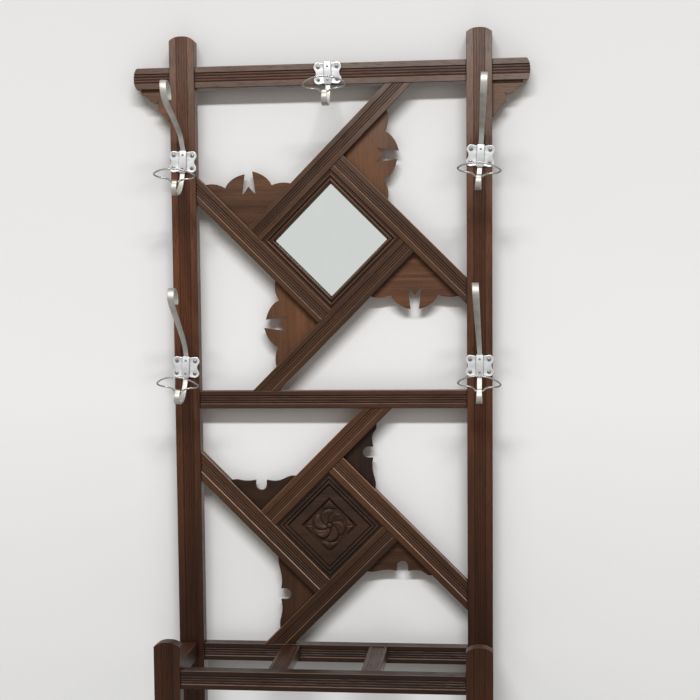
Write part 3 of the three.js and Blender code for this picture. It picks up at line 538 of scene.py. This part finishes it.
def smooth_line(points, closed, steps):
    """Points evenly spaced along the centripetal Catmull-Rom curve through the given ones."""
    points = [Vector(p) for p in points]
    if closed:
        ends = [points[-1]] + points + points[:2]
    else:
        ends = [2 * points[0] - points[1]] + points + [2 * points[-1] - points[-2]]
    dense, fine = [], 24
    for p0, p1, p2, p3 in zip(ends, ends[1:], ends[2:], ends[3:]):
        t1 = max((p1 - p0).length ** 0.5, 1e-4)
        t2 = t1 + max((p2 - p1).length ** 0.5, 1e-4)
        t3 = t2 + max((p3 - p2).length ** 0.5, 1e-4)
        for i in range(fine):
            t = t1 + (t2 - t1) * i / fine
            a1 = p0.lerp(p1, t / t1)
            a2 = p1.lerp(p2, (t - t1) / (t2 - t1))
            a3 = p2.lerp(p3, (t - t2) / (t3 - t2))
            b1 = a1.lerp(a2, t / t2)
            b2 = a2.lerp(a3, (t - t1) / (t3 - t1))
            dense.append(b1.lerp(b2, (t - t1) / (t2 - t1)))
    dense.append(dense[0] if closed else points[-1])
    run = [0.0]
    for a, b in zip(dense, dense[1:]):
        run.append(run[-1] + (b - a).length)
    count = steps if closed else steps - 1
    placed, at = [], 0
    for i in range(steps):
        goal = run[-1] * i / count
        while at < len(run) - 2 and run[at + 1] < goal:
            at += 1
        share = (goal - run[at]) / max(run[at + 1] - run[at], 1e-9)
        placed.append(dense[at].lerp(dense[at + 1], min(share, 1.0)))
    return placed


def tangents(line, closed):
    count = len(line)
    for i in range(count):
        before = line[i - 1] if closed or i > 0 else line[0]
        after = line[(i + 1) % count] if closed or i < count - 1 else line[-1]
        yield (after - before).normalized()


def smoothstep(value, low, high):
    share = min(max((value - low) / (high - low), 0.0), 1.0)
    return share * share * (3 - 2 * share)


def circle_run(centre, radius, start, end, count):
    for i in range(count):
        angle = math.radians(start + (end - start) * i / (count - 1))
        yield centre[0] + radius * math.cos(angle), centre[1] + radius * math.sin(angle)


# Coat hooks, the same curves as their solids with rounder sections and more points

PLATE = {"width": 49.5, "height": 38.5, "sheet": 1.6, "lobe": 8.2, "swing": 0.75, "waist": 5.5, "gap": 0.3,
         "foot": 1.5, "head": 2.0}
CHANNEL = {"width": 12.8, "rise": 4.6, "corner": 1.6, "wall": 1.2, "chamfer": 0.8}
STRIP = {"thick": 2.0, "neck": 9.0, "bend": 11.0, "roll": 9.4, "arm": 11.8, "rest": 1.45, "corner": 0.75}
STRIP_END_WIDTHS = (0.80, 0.93, 0.985)
LONG_STEPS, SHORT_STEPS = 190, 110
ROLLED = {"out": 61.0, "up": -21.8, "radius": 2.9, "from": 205, "to": -15}
LOWER_BEND = (
    (66.6, -26.2), (68.8, -31.5), (66.8, -38.4), (60, -42.7), (50, -43.3), (38, -40.8), (26, -35.3),
    (15, -26.3), (7.5, -16), (3, -6.5),
)
ARMS = {
    "forward": {
        "run": ((3.4, 9), (9, 26), (28, 39), (46, 49.2), (66, 59.5), (88, 69), (99.5, 77.5)),
        "crook": (87, 93.5),
        "end": (71, 79.5),
    },
    "steep": {
        "run": ((3, 9), (7, 19), (22, 37.5), (40, 54), (57, 68.5), (76, 85), (88, 97)),
        "crook": (75, 106),
        "end": (59, 95),
    },
}
CROOK_RADIUS = 17
# The heights above the plate at which an arm has its whole lean and its whole rise
LEAN_HEIGHT, RISE_HEIGHT = 110, 124
WIRE_RADIUS = 1.5
LOOP = (
    (0, 80, 5), (14, 79, 3.4), (26.5, 74.8, -0.6), (34.5, 69, -5.8), (36.9, 64.5, -9), (34.6, 58, -12.2),
    (28, 53, -14.2), (20, 51.2, -15), (13, 54, -16.6), (9, 58.6, -19),
)
LOOP_STRAIGHT, LOOP_REACH = 5.6, 37
RIVET = {"radius": 2.3, "height": 0.8, "sunk": 0.25, "places": (7.5, 31.0)}
SCREW = {"radius": 3.5, "height": 1.9, "sunk": 0.4, "places": (8.2, 30.3), "slot": 0.55, "turns": (0.7, 1.9)}

# name, place of the plate's lower edge, turn, arm, lean, rise, nod, droop
HOOKS = (
    ("top", (-1.7, RAIL_FACE, 1706), -1.5, None, 0, 0, 0.18, 0.5),
    ("upper_left", (-265.7, STILE_FACE, 1556), 2.5, "forward", -16.5, 0, 0.28, 0.5),
    ("upper_right", (265.1, STILE_FACE, 1555.5), 3.5, "forward", -0.2, 0, 0.28, 0.5),
    ("lower_left", (-266.8, STILE_FACE, 1187.5), 2.5, "steep", -10.6, -1.5, 0, 0.5),
    ("lower_right", (264, STILE_FACE, 1187.5), 0.5, "steep", -6.9, 2.5, 0, 1.5),
)


def strip_line(arm, lean, rise, steps):
    """The strip's middle line, from its rolled lower end up to the end of its crook."""
    height, rest = PLATE["height"], STRIP["rest"]
    roll = (ROLLED["out"], ROLLED["up"])
    points = list(circle_run(roll, ROLLED["radius"], ROLLED["from"], ROLLED["to"], 7))
    points += [*LOWER_BEND, (rest, -1), (rest, 6), (rest, height - 6)]
    if arm:
        crook = circle_run(ARMS[arm]["crook"], CROOK_RADIUS, 0, 180, 6)
        upper = [(rest, 1.5), *ARMS[arm]["run"], *crook, ARMS[arm]["end"]]
        points += [(out, up + rise * up / RISE_HEIGHT + height) for out, up in upper]
    line = [(lean * max(up - height, 0) / LEAN_HEIGHT, -out, up) for out, up in points]
    return smooth_line(line, False, steps)


def add_strip(shape, line):
    neck, bend, roll, arm = (STRIP[key] for key in ("neck", "bend", "roll", "arm"))
    corner, half_thick = STRIP["corner"], STRIP["thick"] / 2
    count = len(line)
    foot = next(i for i, p in enumerate(line) if p.z > 0) / count
    head = next((i for i, p in enumerate(line) if p.z > PLATE["height"]), count) / count
    rings = []
    for i, (point, tangent) in enumerate(zip(line, tangents(line, False))):
        t = i / (count - 1)
        if t < foot:
            width = roll + (bend - roll) * smoothstep(t / foot, 0.1, 0.3)
            width += (neck - width) * smoothstep(t / foot, 0.5, 0.85)
        else:
            width = neck + (arm - neck) * smoothstep(t, head, head + 0.8 * (1.001 - head))
        # The two ends are rounded off in the width
        left = min(i, count - 1 - i)
        if left < len(STRIP_END_WIDTHS):
            width *= STRIP_END_WIDTHS[left]
        normal = tangent.cross(Vector((1, 0, 0))).normalized()
        ring = []
        for quarter, (sx, sn) in enumerate(((1, 1), (-1, 1), (-1, -1), (1, -1))):
            for step in range(4):
                angle = math.radians(90 * quarter + 30 * step)
                across = sx * (width / 2 - corner) + corner * math.cos(angle)
                deep = sn * (half_thick - corner) + corner * math.sin(angle)
                ring.append(point + Vector((across, 0, 0)) + normal * deep)
        rings.append(ring)
    shape.rings(rings)


def add_wire(shape, nod, droop, steps=150, sides=14):
    """The wire loop, which nods by a slope outwards and droops on one side."""
    def bent(side, points):
        for x, out, up in points:
            nodded = up - nod * max(out - ROLLED["out"], 0)
            yield side * x, -out, nodded - side * droop * x / LOOP_REACH

    dip = [(x, -ROLLED["out"], ROLLED["up"]) for x in (LOOP_STRAIGHT, 0, -LOOP_STRAIGHT)]
    line = smooth_line([*bent(1, LOOP), *dip, *bent(-1, LOOP[:0:-1])], True, steps)
    rings = []
    for point, tangent in zip(line, tangents(line, True)):
        side = tangent.cross(Vector((0, -0.35, 1))).normalized()
        up = tangent.cross(side)
        rings.append([point + side * (WIRE_RADIUS * math.cos(math.tau * i / sides))
                      + up * (WIRE_RADIUS * math.sin(math.tau * i / sides)) for i in range(sides)])
    shape.rings(rings, closed=True)


def plate_outline():
    """The plate's outline, anticlockwise from its lower right, as (x, z). Its lobes are round and its
    waist between them is a curve drawn in towards the middle."""
    lobe, height = PLATE["lobe"], PLATE["height"]
    side, half = PLATE["width"] / 2 - lobe, CHANNEL["width"] / 2
    swing = math.degrees(PLATE["swing"])
    right = [(half, PLATE["foot"])]
    right += circle_run((side, lobe), lobe, -90, swing, 12)
    low, high = right[-1], (right[-1][0], height - right[-1][1])
    waist = (PLATE["width"] / 2 - PLATE["waist"], height / 2)
    for i in range(1, 8):
        t = i / 8
        right.append(tuple((1 - t) ** 2 * a + 2 * t * (1 - t) * b + t * t * c
                           for a, b, c in zip(low, waist, high)))
    right += circle_run((side, height - lobe), lobe, -swing, 90, 12)
    right.append((half, height - PLATE["head"]))
    return right + [(-x, z) for x, z in reversed(right)]


def inset(outline, distance):
    """Moves a closed outline inwards."""
    moved = []
    count = len(outline)
    for i, point in enumerate(outline):
        before, after = Vector(outline[i - 1]), Vector(outline[(i + 1) % count])
        along = (after - before).normalized()
        moved.append((point[0] - along.y * distance, point[1] + along.x * distance))
    return moved


def add_plate(shape):
    """The pressed sheet, its rim rolled back to the wood, and the raised channel on it."""
    gap, sheet = PLATE["gap"], PLATE["sheet"]
    outline = plate_outline()
    rim = ((0, gap), (0, gap + 0.55 * sheet), (0.25, gap + 0.85 * sheet), (0.75, gap + sheet),
           (1.5, gap + sheet), (2.3, gap + sheet - 0.35))
    shape.rings([[(x, -out, z) for x, z in inset(outline, distance)] for distance, out in rim])
    half, rise, height = CHANNEL["width"] / 2, CHANNEL["rise"], PLATE["height"]
    wall, corner, chamfer = CHANNEL["wall"], CHANNEL["corner"], CHANNEL["chamfer"]
    outer = [(half, gap), (half, 0.5 * rise)]
    outer += circle_run((half - corner, rise - corner), corner, 0, 90, 6)
    inner = [(half - wall, gap), (half - wall, rise - wall - chamfer), (half - wall - chamfer, rise - wall)]
    section = outer + [(-x, out) for x, out in reversed(outer)] + [(-x, out) for x, out in inner]
    section += list(reversed(inner))
    rings = []
    for z, scale in ((0.0, 0.97), (0.35, 1.0), (height - 0.35, 1.0), (height, 0.97)):
        rings.append([(x * scale, -out * scale, z) for x, out in section])
    shape.rings(rings)


def add_dome(shape, centre, radius, height, rings=5, sides=20):
    """A low dome standing on the plane of the plate."""
    x, out, z = centre
    turns = [math.tau * j / sides for j in range(sides)]
    bands = []
    for i in range(rings + 1):
        angle = math.radians(88 * i / rings)
        reach, lift = radius * math.cos(angle), height * math.sin(angle)
        bands.append([(x + reach * math.cos(turn), -out - lift, z + reach * math.sin(turn))
                      for turn in turns])
    shape.rings(bands)


def add_slotted_dome(shape, centre, radius, height, turn):
    """A screw head: two part domes with a slot between them and a flat floor under it."""
    x, out, z = centre
    slot, sides, steps = SCREW["slot"], 14, 5
    cos, sin = math.cos(turn), math.sin(turn)

    def at(across, along, lift):
        return x + across * cos - along * sin, -out - lift, z + across * sin + along * cos

    for side in (1, -1):
        bands = []
        for i in range(steps + 1):
            rise = math.radians(84 * i / steps)
            reach, lift = radius * math.cos(rise), height * math.sin(rise)
            edge = math.acos(min(slot / max(reach, slot + 0.05), 1.0))
            arc = [-edge + 2 * edge * j / sides for j in range(sides + 1)]
            bands.append([at(side * max(reach * math.cos(a), slot), side * reach * math.sin(a), lift)
                          for a in arc])
        bands.insert(0, [(px, -out + SCREW["sunk"], pz) for px, _, pz in bands[0]])
        shape.rings(bands)
    add_dome(shape, centre, radius * 0.93, height * 0.25, rings=2)


def add_fixings(shape, number):
    """Two rivets in the channel and a slotted screw in each lobe, every slot turned its own way."""
    for z in RIVET["places"]:
        add_dome(shape, (0, CHANNEL["rise"] - RIVET["sunk"], z), RIVET["radius"], RIVET["height"])
    side = PLATE["width"] / 2 - PLATE["lobe"]
    front = PLATE["gap"] + PLATE["sheet"] - SCREW["sunk"]
    lobes = [(x, z) for z in SCREW["places"] for x in (-side, side)]
    for corner, (x, z) in enumerate(lobes):
        turn = SCREW["turns"][0] * number + SCREW["turns"][1] * corner
        add_slotted_dome(shape, (x, front, z), SCREW["radius"], SCREW["height"], turn)


def add_hooks():
    for number, (hook, place, turn, arm, lean, rise, nod, droop) in enumerate(HOOKS):
        matrix = Matrix.Translation([v * MM for v in place])
        matrix = matrix @ Matrix.Rotation(math.radians(turn), 4, "Y") @ Matrix.Scale(MM, 4)
        plate, strip, wire, screws = Shape(), Shape(), Shape(), Shape()
        add_plate(plate)
        add_strip(strip, strip_line(arm, lean, rise, LONG_STEPS if arm else SHORT_STEPS))
        add_wire(wire, nod, droop)
        add_fixings(screws, number)
        for part, shape, slot in (("plate", plate, "hook_aluminium"), ("strip", strip, "hook_aluminium"),
                                  ("wire", wire, "hook_wire")):
            node = f"{hook}_hook_{part}"
            new_piece(f"{node}_shape", shape.placed(matrix), shape.faces, hook_metals[part], slot, node)
        new_piece(f"{hook}_hook_screws", screws.placed(matrix), screws.faces, hook_metals["screws"],
                  "hook_aluminium")


# The carved whirl in the lower block's sunk square: curved petals round a button, and a leaf in each corner

CARVING = {"floor": 97.5, "half": 33.2, "radius": 30.5, "petals": 6, "twist": 0.036, "height": 5.6,
           "button": 4.6, "ground": 0.25, "marks": 0.12, "edge": 1.2, "sunk": 0.4, "grid": 150}
LEAF = {"middle": 37.5, "reach": 7.0, "tip": 46.5, "spread": 1.1, "height": 3.2, "crease": 1.6}


def petal_height(radius, angle):
    """Each petal rises from a sharp valley, is full near its leading edge and is rounded off at its tip."""
    reach = CARVING["radius"]
    share = radius / reach
    turn = CARVING["petals"] * (angle - CARVING["twist"] * (reach - radius)) / math.tau
    along = turn - math.floor(turn)
    tip = 1 - 0.16 * (2 * abs(along - 0.55)) ** 2.2
    if share >= tip:
        return 0.0
    body = min(along / 0.62, 1.0) ** 0.7 * min((1 - along) / 0.16, 1.0) ** 0.6
    rim = min((tip - share) / 0.16, 1.0) ** 0.5
    dish = 0.55 + 0.45 * share
    vein = 0.12 * math.exp(-((along - 0.45) / 0.06) ** 2)
    return CARVING["height"] * rim * dish * (0.25 + 0.75 * body - vein)


def leaf_height(x, z):
    """The corner leaves lie on the square's diagonals, each with a crease along its middle."""
    height = 0.0
    for quarter in range(4):
        cos, sin = math.cos(quarter * math.pi / 2), math.sin(quarter * math.pi / 2)
        out, across = x * cos + z * sin, z * cos - x * sin
        place = (out - LEAF["middle"]) / LEAF["reach"]
        wide = across / (LEAF["spread"] * max(LEAF["tip"] - out, 0.5))
        if abs(place) < 1 and abs(wide) < 1:
            crease = 0.55 + 0.45 * min(abs(across) / LEAF["crease"], 1)
            height = max(height, LEAF["height"] * math.sqrt((1 - place ** 2) * (1 - wide ** 2)) * crease)
    return height


def carved_height(x, z):
    """How far the carving stands out of the sunk floor at a point, in millimetres."""
    radius = math.hypot(x, z)
    height = petal_height(radius, math.atan2(z, x))
    button = CARVING["button"]
    hollow = 1.5 * button
    if radius < hollow:
        height *= 1 - 0.6 * smoothstep(radius, hollow, button)
    if radius < button:
        height = max(height, 2.2 + 2.6 * math.sqrt(max(1 - (radius / button) ** 2, 0)))
    return max(height, leaf_height(x, z))


def add_carving():
    low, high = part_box("carved_panel")
    cx, cz = (round((low[axis] + high[axis]) / 2 / MM, 2) for axis in (0, 2))
    floor, half, count = CARVING["floor"], CARVING["half"], CARVING["grid"]
    slant = math.sqrt(0.5)
    verts = []
    for i in range(count + 1):
        for j in range(count + 1):
            u, v = half * (2 * i / count - 1), half * (2 * j / count - 1)
            x, z = (u - v) * slant, (u + v) * slant
            tooled = CARVING["marks"] * math.sin(1.9 * x + 0.7 * math.sin(0.9 * z)) * math.cos(1.6 * z)
            lift = max(carved_height(x, z), CARVING["ground"] + tooled)
            # The carving runs down to the floor at the square's edge
            lift *= min(min(half - abs(u), half - abs(v)) / CARVING["edge"], 1.0)
            verts.append(((cx + x) * MM, (floor - lift) * MM, (cz + z) * MM))
    row = count + 1
    corners = [i * row + j for i in range(count) for j in range(count)]
    faces = [(a, a + row, a + row + 1, a + 1) for a in corners]
    border = [i * row for i in range(row)] + [count * row + j for j in range(1, row)]
    border += [i * row + count for i in range(count - 1, -1, -1)] + [j for j in range(count - 1, 0, -1)]
    # A skirt round the border and a flat back, both sunk in the block
    base, around = len(verts), len(border)
    verts += [(verts[a][0], (floor + CARVING["sunk"]) * MM, verts[a][2]) for a in border]
    for here in range(around):
        after = (here + 1) % around
        faces.append((border[here], border[after], base + after, base + here))
    faces.append(tuple(range(base, base + around)))
    new_piece("carved_whirl", verts, faces, woods["carved"], "carved_wood", sharp=50)


add_hooks()
add_carving()

# Studio: a round pale floor, a pale wall, a long key lamp far in front and high up, low fill lamps, a lamp
# behind and an even world

FLOOR = {"radius": 1.3, "dark": (0.66, 0.66, 0.655), "light": (0.72, 0.72, 0.715)}
WALL = {"half": 1.6, "top": 2.5, "gap": 0.001, "low": (0.725, 0.74, 0.755), "high": (0.72, 0.73, 0.745),
        "middle": ((0.81, 0.825, 0.84), (0.83, 0.845, 0.86)), "shade": (0.2, 0.17, 0.14), "shade_reach": 0.08}
BACKGROUND = (0.74, 0.745, 0.735)
WORLD_LIGHT, WORLD_STRENGTH = (1.0, 0.87, 0.74), 0.24
# name, place, point it faces, width and height in metres, power in watts, and whether it glints. A glint
# of the lamp behind would whiten the stiles' inner sides.
LAMPS = (
    ("key", (0.2, -6.0, 8.7), (0, 0.1, 1.3), (9.0, 0.6), 1110, True),
    ("left", (-2.4, -1.8, 1.9), (0, 0, 1.2), (1.6, 1.8), 6, True),
    ("right", (2.5, -1.8, 1.9), (0, 0, 1.2), (1.6, 1.8), 6, True),
    ("behind", (0.4, 2.4, 2.6), (0, 0, 1.0), (1.8, 1.4), 45, False),
)


def add_stage(name, verts, material):
    """A flat stage object of one face."""
    mesh = bpy.data.meshes.new(name)
    mesh.from_pydata(verts, [], [list(range(len(verts)))])
    mesh.materials.append(material)
    stage = bpy.data.objects.new(name, mesh)
    scene.collection.objects.link(stage)
    return stage


def add_floor():
    n = Nodes("floor_paper")
    paper = n.mix(n.noise(n.place(), 5), FLOOR["dark"], FLOOR["light"])
    ring = [(x, y, 0) for x, y in circle_run((0, 0), FLOOR["radius"], 0, 360, 97)]
    add_stage("floor", ring[:-1], n.surface({"Base Color": paper, "Roughness": 0.9}))


def wall_paint():
    """Pale paint whose tones by height are painted light, lightest at the height of the middle rail, with
    painted shade close to the stand. It is clear from behind."""
    n = Nodes("wall_paint")
    height = n.place("Z")
    middle = n.mix(n.noise(n.place(), 4), *WALL["middle"])
    tone = n.mix(n.remap(height, 0.6, 1.15), WALL["low"], middle)
    tone = n.mix(n.remap(height, 1.15, 1.9), tone, WALL["high"])
    near = n.remap(n.openness(WALL["shade_reach"], samples=8), 0.55, 1.0, 0.2, 0.0)
    tone = n.mix(near, tone, WALL["shade"])
    n.surface({"Base Color": tone, "Roughness": 1.0, "Specular IOR Level": 0.0})
    clear = n.add("ShaderNodeBsdfTransparent")
    side = n.add("ShaderNodeNewGeometry")
    shown = n.add("ShaderNodeMixShader")
    n.join(side.outputs["Backfacing"], shown.inputs[0])
    n.join(n.shader.outputs[0], shown.inputs[1])
    n.join(clear.outputs[0], shown.inputs[2])
    n.join(shown.outputs[0], n.tree.nodes["Material Output"].inputs["Surface"])
    return n.material


def add_wall():
    """A pale wall behind the stand, seen from the room's side only. It takes the stand's shadow and sends
    no light or shade back to it."""
    half, top, y = WALL["half"], WALL["top"], BACK * MM + WALL["gap"]
    wall = add_stage("wall", [(-half, y, 0), (half, y, 0), (half, y, top), (-half, y, top)], wall_paint())
    wall.visible_diffuse = False
    wall.visible_glossy = False
    wall.visible_transmission = False
    wall.visible_shadow = False


def add_lamp(name, place, target, size, power, glints):
    data = bpy.data.lights.new(name, "AREA")
    data.shape = "RECTANGLE"
    data.size, data.size_y = size
    data.energy = power
    lamp = bpy.data.objects.new(name, data)
    lamp.location = place
    lamp.rotation_euler = (Vector(target) - Vector(place)).to_track_quat("-Z", "Y").to_euler()
    lamp.visible_glossy = glints
    scene.collection.objects.link(lamp)


def add_world():
    """A pale background for what is seen directly, mirrored or through glass, and a weaker warm light."""
    world = bpy.data.worlds.new("studio")
    world.use_nodes = True
    scene.world = world
    tree = world.node_tree
    tree.nodes.clear()
    path = tree.nodes.new("ShaderNodeLightPath")
    seen = path.outputs["Is Camera Ray"]
    for ray in ("Is Glossy Ray", "Is Transmission Ray"):
        either = tree.nodes.new("ShaderNodeMath")
        either.operation = "MAXIMUM"
        tree.links.new(seen, either.inputs[0])
        tree.links.new(path.outputs[ray], either.inputs[1])
        seen = either.outputs[0]
    choose = tree.nodes.new("ShaderNodeMixShader")
    tree.links.new(seen, choose.inputs[0])
    for socket, colour, strength in ((1, WORLD_LIGHT, WORLD_STRENGTH), (2, BACKGROUND, 1.0)):
        shade = tree.nodes.new("ShaderNodeBackground")
        shade.inputs["Color"].default_value = (*colour, 1)
        shade.inputs["Strength"].default_value = strength
        tree.links.new(shade.outputs[0], choose.inputs[socket])
    output = tree.nodes.new("ShaderNodeOutputWorld")
    tree.links.new(choose.outputs[0], output.inputs[0])


scene.view_settings.view_transform = "Standard"
add_camera()
add_floor()
add_wall()
add_world()
for lamp in LAMPS:
    add_lamp(*lamp)
